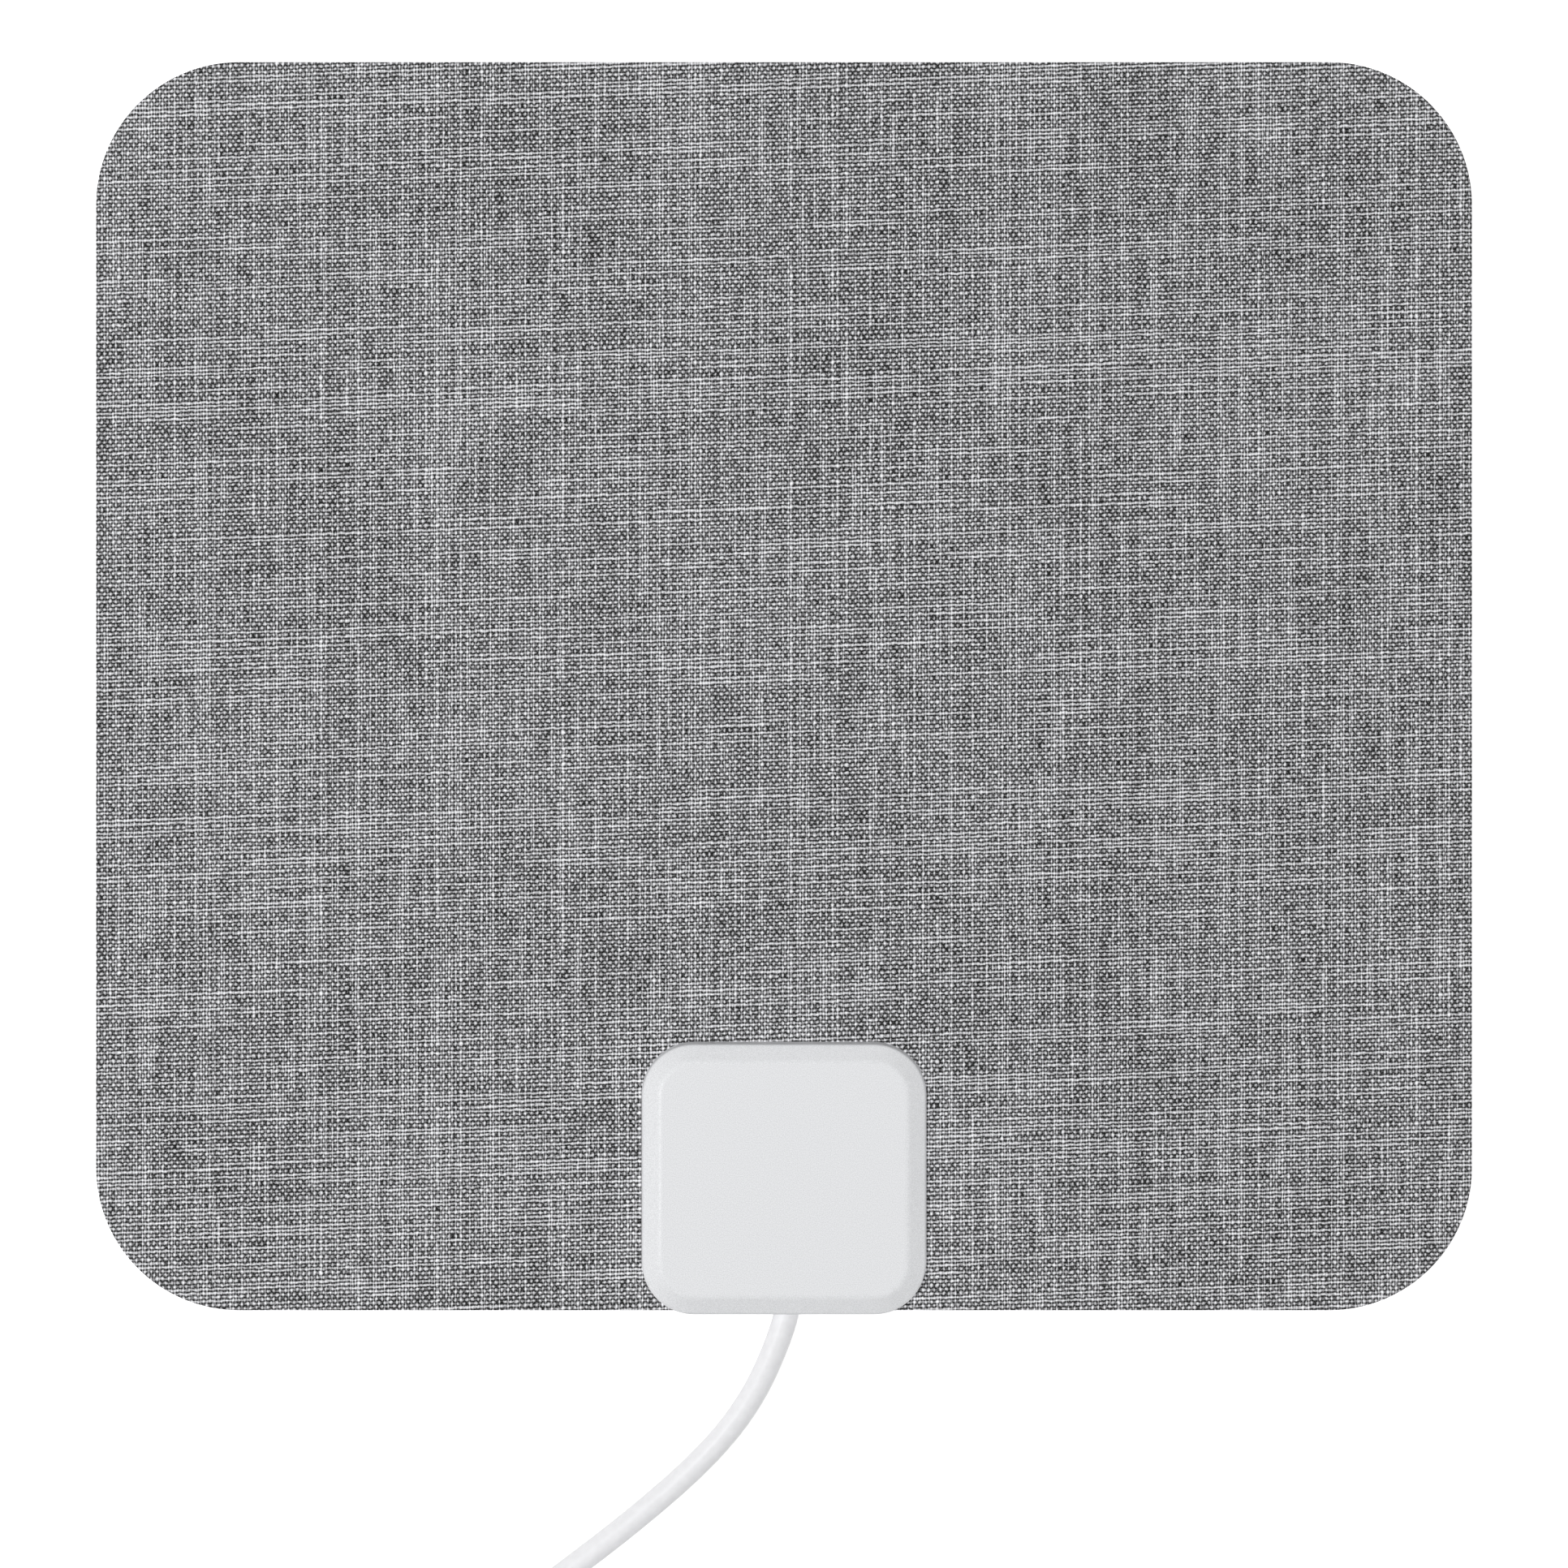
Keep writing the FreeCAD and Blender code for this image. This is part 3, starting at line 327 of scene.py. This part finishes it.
def woven_polyester():
    """Heathered cloth in plain weave: fine beads where the wefts come over the warps, painted lit as
    highlights, in rows that rise to the right, with painted shade in the holes between them and thin pale
    yarns that run through them both ways. Every yarn is painted darker from its crown to its edges, as shade."""
    material, tree, shader, in_mm = start_material("woven_polyester")
    axes = add(tree, "ShaderNodeSeparateXYZ", {}, {0: in_mm})
    across = add(tree, "ShaderNodeMath", {"operation": "MULTIPLY_ADD"},
                 {0: axes["X"], 1: -WEFT_SLOPE, 2: axes["Y"]})[0]

    # Yarns numbered from left to right and upwards, on a grid that drifts and crowds a little
    threads = add(tree, "ShaderNodeCombineXYZ", {}, {"X": axes["X"], "Y": across})[0]
    threads = add(tree, "ShaderNodeVectorMath", {"operation": "DIVIDE"}, {0: threads, 1: YARN_PITCH_MM})[0]
    drift = add(tree, "ShaderNodeTexNoise", {"noise_dimensions": "2D"},
                {"Vector": in_mm, "Scale": 1 / DRIFT_MM, "Detail": 0.0})["Color"]
    threads = add(tree, "ShaderNodeVectorMath", {"operation": "MULTIPLY_ADD"},
                  {0: drift, 1: DRIFT_YARNS, 2: threads})[0]
    crowds = [add(tree, "ShaderNodeTexNoise", {"noise_dimensions": "1D"},
                  {"W": way, "Scale": 1 / length, "Detail": 0.0})["Fac"]
              for way, length in zip((axes["X"], across), CROWD_MM)]
    crowd = add(tree, "ShaderNodeCombineXYZ", {}, {"X": crowds[0], "Y": crowds[1]})[0]
    threads = add(tree, "ShaderNodeVectorMath", {"operation": "MULTIPLY_ADD"},
                  {0: crowd, 1: CROWD_YARNS, 2: threads})[0]
    yarn = add(tree, "ShaderNodeVectorMath", {"operation": "ADD"}, {0: threads, 1: (0.5, 0.5, 0.0)})[0]
    yarn = add(tree, "ShaderNodeVectorMath", {"operation": "FLOOR"}, {0: yarn})[0]
    yarn = add(tree, "ShaderNodeSeparateXYZ", {}, {0: yarn})

    # What comes and goes along each yarn, and the pale yarns, drawn by lot
    spots = ({"X": yarn["X"], "Y": axes["Y"]}, {"X": axes["X"], "Y": yarn["Y"]})
    scales = ((YARN_APART, 1 / RUN_MM[0], 0.0), (1 / RUN_MM[1], YARN_APART, 0.0))
    runs = []
    slubs = []
    pales = []
    for k, number in enumerate((yarn["X"], yarn["Y"])):
        place = add(tree, "ShaderNodeCombineXYZ", {}, spots[k])[0]
        place = add(tree, "ShaderNodeVectorMath", {"operation": "MULTIPLY"}, {0: place, 1: scales[k]})[0]
        runs.append(add(tree, "ShaderNodeTexNoise", {"noise_dimensions": "2D"},
                        {"Vector": place, "Scale": 1.0, "Detail": 0.0})["Fac"])
        slubs.append(add(tree, "ShaderNodeTexNoise", {"noise_dimensions": "2D"},
                         {"Vector": place, "Scale": SLUBS_A_RUN[k], "Detail": 0.0})["Fac"])
        lot = add(tree, "ShaderNodeTexWhiteNoise", {"noise_dimensions": "1D"}, {"W": number})["Value"]
        lot = add(tree, "ShaderNodeMath", {"operation": "MULTIPLY_ADD"},
                  {0: runs[k], 1: RUN_LOT[k], 2: lot})[0]
        pales.append(add(tree, "ShaderNodeMapRange", {"interpolation_type": "SMOOTHSTEP"},
                         {"Value": lot, "From Min": PALE_LOTS[k][0], "From Max": PALE_LOTS[k][1]})[0])
    run, slub, pale = [add(tree, "ShaderNodeCombineXYZ", {}, {"X": warp, "Y": weft})[0]
                       for warp, weft in (runs, slubs, pales)]

    # The yarns' round backs as painted shade, lighter on the crown and darker to the edges, and thin ridges
    # for the pale ones, shaded the same way
    wave = add(tree, "ShaderNodeVectorMath", {"operation": "SCALE"}, {0: threads, "Scale": math.pi})[0]
    wave = add(tree, "ShaderNodeVectorMath", {"operation": "COSINE"}, {0: wave})[0]
    back = add(tree, "ShaderNodeVectorMath", {"operation": "MULTIPLY"}, {0: wave, 1: wave})[0]
    ridge_shade = add(tree, "ShaderNodeVectorMath", {"operation": "MULTIPLY"}, {0: back, 1: back})[0]
    least = [mean - (slubby + long) / 2 for mean, slubby, long in zip(BACK_TONE, SLUB_TONE, RUN_TONE)]
    tone = add(tree, "ShaderNodeVectorMath", {"operation": "MULTIPLY_ADD"},
               {0: slub, 1: SLUB_TONE, 2: least})[0]
    tone = add(tree, "ShaderNodeVectorMath", {"operation": "MULTIPLY_ADD"}, {0: run, 1: RUN_TONE, 2: tone})[0]
    lit = add(tree, "ShaderNodeVectorMath", {"operation": "DOT_PRODUCT"}, {0: tone, 1: back})["Value"]
    tone = add(tree, "ShaderNodeVectorMath", {"operation": "MULTIPLY"}, {0: pale, 1: PALE_TONE})[0]
    thin = add(tree, "ShaderNodeVectorMath", {"operation": "DOT_PRODUCT"}, {0: tone, 1: ridge_shade})["Value"]

    # Over and under by turns: a painted highlight on the bead at every second crossing and painted shade at
    # the others, flatter where a weft is pale
    wave = add(tree, "ShaderNodeSeparateXYZ", {}, {0: wave})
    bead = add(tree, "ShaderNodeMath", {"operation": "MULTIPLY"}, {0: wave["X"], 1: wave["Y"]})[0]
    bead_shade_depth = add(tree, "ShaderNodeMath", {"operation": "MULTIPLY_ADD"},
                {0: pales[1], 1: -PALE_FLAT * BEAD_LIGHT_AND_SHADE, 2: BEAD_LIGHT_AND_SHADE})[0]
    top = add(tree, "ShaderNodeMath", {"operation": "MULTIPLY_ADD"}, {0: bead, 1: bead_shade_depth, 2: lit})[0]
    top = add(tree, "ShaderNodeMath", {"operation": "ADD"}, {0: top, 1: thin})[0]

    # Frayed fibres, a faint cloud and the painted shade of the gaps, then the tones
    fray = add(tree, "ShaderNodeTexNoise", {"noise_dimensions": "2D"},
               {"Vector": in_mm, "Scale": 1 / FRAY_MM, "Detail": 0.0})["Fac"]
    shade = add(tree, "ShaderNodeMath", {"operation": "MULTIPLY_ADD"},
                {0: fray, 1: FRAY_TONE, 2: GAP_SHADE_TONE - FRAY_TONE / 2 - CLOUD_TONE / 2})[0]
    cloud = add(tree, "ShaderNodeTexNoise", {"noise_dimensions": "2D"},
                {"Vector": in_mm, "Scale": 1 / CLOUD_MM, "Detail": 2.0})["Fac"]
    shade = add(tree, "ShaderNodeMath", {"operation": "MULTIPLY_ADD"}, {0: cloud, 1: CLOUD_TONE, 2: shade})[0]
    shade = add(tree, "ShaderNodeMath", {"operation": "ADD"}, {0: shade, 1: top})[0]
    ramp = tree.nodes.new("ShaderNodeValToRGB")
    ramp.color_ramp.elements[0].color = linear(CLOTH_TONES[0][1])
    ramp.color_ramp.elements[1].color = linear(CLOTH_TONES[-1][1])
    for place, colour in CLOTH_TONES[1:-1]:
        ramp.color_ramp.elements.new(place).color = linear(colour)
    feed(tree, ramp, {"Fac": shade})
    relief = add(tree, "ShaderNodeBump", {},
                 {"Height": top, "Strength": 0.25, "Distance": YARN_DEPTH_MM * MM})[0]
    feed(tree, shader, {"Base Color": ramp.outputs["Color"], "Roughness": 0.9, "Specular IOR Level": 0.15,
                        "Normal": relief})
    return material


def moulded_abs():
    """Injection-moulded ABS from a spark-eroded tool: off-white, matt, with a fine even grain that breaks up
    every highlight. The grain is drawn a little coarser than the tool's, so that it shows."""
    grain_mm = 0.14
    depth_mm = 0.02
    material, tree, shader, in_mm = start_material("moulded_abs")
    grain = add(tree, "ShaderNodeTexNoise", {},
                {"Vector": in_mm, "Scale": 1 / grain_mm, "Detail": 1.0})["Fac"]
    tint = tinted(tree, grain, "#D4D5D7", "#EBECEE")
    relief = add(tree, "ShaderNodeBump", {},
                 {"Height": grain, "Strength": 0.35, "Distance": depth_mm * MM})[0]
    gloss = add(tree, "ShaderNodeMapRange", {}, {"Value": grain, "To Min": 0.32, "To Max": 0.44})[0]
    feed(tree, shader, {"Base Color": tint, "Roughness": gloss, "IOR": PLASTIC_IOR, "Normal": relief})
    return material


def extruded_pvc():
    """Extruded soft PVC: clean white with a faint sheen, and the slight ripple that the die leaves."""
    ripple_mm = 1.2
    depth_mm = 0.04
    material, tree, shader, in_mm = start_material("extruded_pvc")
    ripple = add(tree, "ShaderNodeTexNoise", {},
                 {"Vector": in_mm, "Scale": 1 / ripple_mm, "Detail": 3.0})["Fac"]
    tint = tinted(tree, ripple, "#E6E6E8", "#ECECEE")
    relief = add(tree, "ShaderNodeBump", {},
                 {"Height": ripple, "Strength": 0.3, "Distance": depth_mm * MM})[0]
    gloss = add(tree, "ShaderNodeMapRange", {}, {"Value": ripple, "To Min": 0.32, "To Max": 0.48})[0]
    feed(tree, shader, {"Base Color": tint, "Roughness": gloss, "IOR": PLASTIC_IOR, "Normal": relief})
    return material


def moulded_pvc():
    """Moulded soft PVC, as on a plug's grip: white, a little duller and warmer than the cable."""
    grain_mm = 0.5
    depth_mm = 0.03
    material, tree, shader, in_mm = start_material("moulded_pvc")
    grain = add(tree, "ShaderNodeTexNoise", {},
                {"Vector": in_mm, "Scale": 1 / grain_mm, "Detail": 3.0})["Fac"]
    tint = tinted(tree, grain, "#E4E4E3", "#EBEBEA")
    relief = add(tree, "ShaderNodeBump", {}, {"Height": grain, "Strength": 0.3, "Distance": depth_mm * MM})[0]
    gloss = add(tree, "ShaderNodeMapRange", {}, {"Value": grain, "To Min": 0.42, "To Max": 0.6})[0]
    feed(tree, shader, {"Base Color": tint, "Roughness": gloss, "IOR": PLASTIC_IOR, "Normal": relief})
    return material


def calendered_pvc():
    """Calendered PVC sheet: pale grey with an embossed grain of small rounded cells, and a low sheen."""
    cell_mm = 1.1
    depth_mm = 0.08
    cloud_mm = 9.0
    material, tree, shader, in_mm = start_material("calendered_pvc")
    cells = add(tree, "ShaderNodeTexVoronoi", {"feature": "SMOOTH_F1"},
                {"Vector": in_mm, "Scale": 1 / cell_mm, "Smoothness": 0.6})["Distance"]
    cloud = add(tree, "ShaderNodeTexNoise", {},
                {"Vector": in_mm, "Scale": 1 / cloud_mm, "Detail": 2.0})["Fac"]
    tint = tinted(tree, cloud, "#C9C9CB", "#D2D2D4")
    relief = add(tree, "ShaderNodeBump", {"invert": True},
                 {"Height": cells, "Strength": 0.6, "Distance": depth_mm * MM})[0]
    gloss = add(tree, "ShaderNodeMapRange", {}, {"Value": cells, "To Min": 0.45, "To Max": 0.65})[0]
    feed(tree, shader, {"Base Color": tint, "Roughness": gloss, "IOR": PLASTIC_IOR, "Normal": relief})
    return material


def rolled_metal(name, dark, pale, roughness, lines_mm):
    """A rolled, drawn or plated metal: fine lines along one axis, with their pitch on each axis, that spread
    its highlights from a little glossier to a little duller, and a faint cloud in its colour."""
    depth_mm = 0.01
    glossier = 0.06
    duller = 0.08
    material, tree, shader, in_mm = start_material(name)
    stretched = add(tree, "ShaderNodeVectorMath", {"operation": "DIVIDE"}, {0: in_mm, 1: lines_mm})[0]
    hairline = add(tree, "ShaderNodeTexNoise", {}, {"Vector": stretched, "Scale": 1.0, "Detail": 2.0})["Fac"]
    tint = tinted(tree, hairline, dark, pale)
    relief = add(tree, "ShaderNodeBump", {},
                 {"Height": hairline, "Strength": 0.25, "Distance": depth_mm * MM})[0]
    gloss = add(tree, "ShaderNodeMapRange", {},
                {"Value": hairline, "To Min": roughness - glossier, "To Max": roughness + duller})[0]
    feed(tree, shader, {"Base Color": tint, "Metallic": 1.0, "Roughness": gloss, "Normal": relief})
    return material


def glass_epoxy():
    """Glass-epoxy board under green solder resist: the glass cloth shows as a faint square weave."""
    square_mm = 0.5
    cloud_mm = 0.8
    depth_mm = 0.02
    material, tree, shader, in_mm = start_material("glass_epoxy")
    weave = add(tree, "ShaderNodeTexChecker", {},
                {"Vector": in_mm, "Scale": 1 / square_mm, "Color1": linear("#123F22"),
                 "Color2": linear("#174A29")})["Color"]
    cloud = add(tree, "ShaderNodeTexNoise", {},
                {"Vector": in_mm, "Scale": 1 / cloud_mm, "Detail": 2.0})["Fac"]
    relief = add(tree, "ShaderNodeBump", {}, {"Height": cloud, "Strength": 0.2, "Distance": depth_mm * MM})[0]
    gloss = add(tree, "ShaderNodeMapRange", {}, {"Value": cloud, "To Min": 0.22, "To Max": 0.42})[0]
    feed(tree, shader, {"Base Color": weave, "Roughness": gloss, "IOR": 1.55, "Normal": relief})
    return material


def sintered_ferrite():
    """Sintered ferrite: near black and matt, speckled by its grains."""
    grain_mm = 0.25
    depth_mm = 0.02
    material, tree, shader, in_mm = start_material("sintered_ferrite")
    grains = add(tree, "ShaderNodeTexVoronoi", {}, {"Vector": in_mm, "Scale": 1 / grain_mm})["Color"]
    grains = add(tree, "ShaderNodeSeparateColor", {}, {"Color": grains})["Red"]
    tint = add(tree, "ShaderNodeMix", {"data_type": "RGBA"},
               {"Factor": grains, 6: linear("#2E2E30"), 7: linear("#424245")})[2]
    relief = add(tree, "ShaderNodeBump", {},
                 {"Height": grains, "Strength": 0.3, "Distance": depth_mm * MM})[0]
    feed(tree, shader, {"Base Color": tint, "Roughness": 0.7, "Normal": relief})
    return material


def tinned_braid():
    """Braid of tinned wires: two sets of wire bundles that cross at a slant, silver, with painted shade in
    the gaps between them. The wave node draws ten radians of its wave in one unit along an axis."""
    bundle_mm = 1.396
    wave_radians = 10
    bundle_scale = math.tau / (wave_radians * bundle_mm)
    depth_mm = 0.08
    material, tree, shader, in_mm = start_material("tinned_braid")
    mirrored = add(tree, "ShaderNodeVectorMath", {"operation": "MULTIPLY"},
                   {0: in_mm, 1: (-1.0, 1.0, 1.0)})[0]
    rising, falling = [add(tree, "ShaderNodeTexWave", {"bands_direction": "DIAGONAL"},
                           {"Vector": place, "Scale": bundle_scale, "Distortion": 0.6})["Fac"]
                       for place in (in_mm, mirrored)]
    wires = add(tree, "ShaderNodeMath", {"operation": "MAXIMUM"}, {0: rising, 1: falling})[0]
    # Painted shade: the tint darkens from the bundles' crowns into the gaps between them
    tint = add(tree, "ShaderNodeMix", {"data_type": "RGBA"},
               {"Factor": wires, 6: linear("#6F6F70"), 7: linear("#C9C9C8")})[2]
    relief = add(tree, "ShaderNodeBump", {}, {"Height": wires, "Strength": 0.7, "Distance": depth_mm * MM})[0]
    feed(tree, shader, {"Base Color": tint, "Metallic": 1.0, "Roughness": 0.35, "Normal": relief})
    return material


def foamed_polyethylene():
    """Foamed polyethylene: milky white, waxy, with a trace of its small bubbles."""
    bubble_mm = 0.3
    depth_mm = 0.03
    material, tree, shader, in_mm = start_material("foamed_polyethylene")
    bubbles = add(tree, "ShaderNodeTexVoronoi", {}, {"Vector": in_mm, "Scale": 1 / bubble_mm})["Distance"]
    tint = add(tree, "ShaderNodeMix", {"data_type": "RGBA"},
               {"Factor": bubbles, 6: linear("#E6E6E1"), 7: linear("#F1F1EC")})[2]
    relief = add(tree, "ShaderNodeBump", {},
                 {"Height": bubbles, "Strength": 0.2, "Distance": depth_mm * MM})[0]
    feed(tree, shader, {"Base Color": tint, "Roughness": 0.45, "IOR": 1.51, "Normal": relief})
    return material


def dress(material, *names):
    """Gives a finish to the CAD nodes of these names."""
    for name in names:
        for holder in nodes[name].material_slots:
            holder.material = material


# Studio

def seen_directly(tree):
    """1 for a ray that sees a surface, straight, in gloss or through glass, and 0 for one that lights it."""
    rays = add(tree, "ShaderNodeLightPath", {}, {})
    seen = add(tree, "ShaderNodeMath", {"operation": "ADD"},
               {0: rays["Is Camera Ray"], 1: rays["Is Glossy Ray"]})[0]
    return add(tree, "ShaderNodeMath", {"operation": "ADD", "use_clamp": True},
               {0: seen, 1: rays["Is Transmission Ray"]})[0]


def studio_paper():
    """White background paper: matt, so that it keeps shadows, with a glow that is only seen."""
    material = bpy.data.materials.new("studio_paper")
    material.use_nodes = True
    tree = material.node_tree
    tree.nodes.remove(tree.nodes["Principled BSDF"])
    glow = add(tree, "ShaderNodeMath", {"operation": "MULTIPLY"}, {0: seen_directly(tree), 1: PAPER_GLOW})[0]
    matt = add(tree, "ShaderNodeBsdfDiffuse", {}, {"Color": linear("#E8E8E8")})[0]
    white = add(tree, "ShaderNodeEmission", {}, {"Color": linear("#FFFFFF"), "Strength": glow})[0]
    both = add(tree, "ShaderNodeAddShader", {}, {0: matt, 1: white})[0]
    feed(tree, tree.nodes["Material Output"], {"Surface": both})
    return material


def studio_floor():
    """A square of paper just under the object."""
    corners = [(-FLOOR_HALF, -FLOOR_HALF, 0), (FLOOR_HALF, -FLOOR_HALF, 0),
               (FLOOR_HALF, FLOOR_HALF, 0), (-FLOOR_HALF, FLOOR_HALF, 0)]
    mesh = bpy.data.meshes.new("floor")
    mesh.from_pydata(corners, [], [(0, 1, 2, 3)])
    mesh.materials.append(studio_paper())
    floor = bpy.data.objects.new("floor", mesh)
    floor.location = (0.0, 0.0, FLOOR_Z)
    scene.collection.objects.link(floor)
    return floor


def studio_dome():
    """A white world that gives the dome's share of the light and is plain white where it is seen."""
    world = bpy.data.worlds.new("studio")
    world.use_nodes = True
    tree = world.node_tree
    level = add(tree, "ShaderNodeMapRange", {},
                {"Value": seen_directly(tree), "To Min": DOME_SHARE, "To Max": 1.0})[0]
    feed(tree, tree.nodes["Background"], {"Color": linear("#FFFFFF"), "Strength": level})
    return world


def studio_lamp(name, toward, size, share, casts, glints):
    """A square soft box that faces the object: its power is the share of the plain level times pi squared
    times its reach squared, over the cosine at which its light meets the floor. Only a lamp that casts
    leaves shadows, and only one that glints shows in a highlight."""
    lamp = bpy.data.lights.new(name, "AREA")
    lamp.shape = "SQUARE"
    lamp.size = size
    lamp.use_shadow = casts
    way = np.array(toward) / np.linalg.norm(toward)
    lamp.energy = share * math.pi ** 2 * LAMP_REACH ** 2 / way[2]
    holder = bpy.data.objects.new(name, lamp)
    holder.location = (LAMP_REACH * way).tolist()
    holder.rotation_mode = "QUATERNION"
    holder.rotation_quaternion = holder.location.to_track_quat("Z", "Y")
    holder.visible_camera = False
    holder.visible_glossy = glints
    scene.collection.objects.link(holder)


# Camera
camera_data = bpy.data.cameras.new("camera")
camera_data.sensor_width = FILM_MM
camera_data.lens = camera_data.sensor_width * CAMERA_HEIGHT / PICTURE_W
camera_data.clip_end = CAMERA_REACH
camera = bpy.data.objects.new("camera", camera_data)
camera.location = (0.0, PICTURE_MIDDLE_Y, CLOTH_TOP + CAMERA_HEIGHT)
scene.collection.objects.link(camera)
scene.camera = camera

# Cable
cable = cable_curve()
cable.data.materials.append(extruded_pvc())
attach(cable, "root")
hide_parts("cable_lead", "cable_coil", "cable_tail")

# Cloth
cloth = cloth_sheet()
cloth.data.materials.clear()
cloth.data.materials.append(woven_polyester())
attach(cloth, "root")
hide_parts("cloth_face")

# Finishes of the CAD nodes
dress(calendered_pvc(), "back_sheet")
dress(rolled_metal("aluminium_foil", "#D9D9DB", "#EBEBEC", roughness=0.3, lines_mm=(0.2, 6.0, 6.0)),
      "foil_element_left", "foil_element_right")
dress(moulded_abs(), "housing_front", "housing_rear")
dress(rolled_metal("zinc_plated_steel", "#B4B5B7", "#CFD0D2", roughness=0.34, lines_mm=(0.3, 0.3, 0.3)),
      "housing_screws", "board_screws")
dress(glass_epoxy(), "circuit_board")
dress(rolled_metal("phosphor_bronze", "#C29A63", "#D8B37C", roughness=0.3, lines_mm=(4.0, 0.15, 4.0)),
      "contact_spring_left", "contact_spring_right")
dress(sintered_ferrite(), "balun_core")
dress(rolled_metal("drawn_copper", "#B8693F", "#CF8256", roughness=0.28, lines_mm=(0.2, 0.2, 0.2)),
      "balun_antenna_winding", "balun_cable_winding", "cable_conductor")
dress(rolled_metal("tinned_steel", "#BEBEBD", "#D6D6D4", roughness=0.3, lines_mm=(3.0, 0.2, 3.0)),
      "cable_ground_clip")
dress(tinned_braid(), "cable_braid")
dress(foamed_polyethylene(), "cable_dielectric", "plug_insulator")
dress(moulded_pvc(), "coil_tie", "plug_body")
dress(rolled_metal("nickel_plated_brass", "#C6C2BA", "#DAD7D0", roughness=0.22, lines_mm=(0.12, 5.0, 5.0)),
      "plug_shell", "plug_pin")

# Floor and light
floor = studio_floor()
scene.world = studio_dome()
for lamp_facts in LAMPS:
    studio_lamp(*lamp_facts)
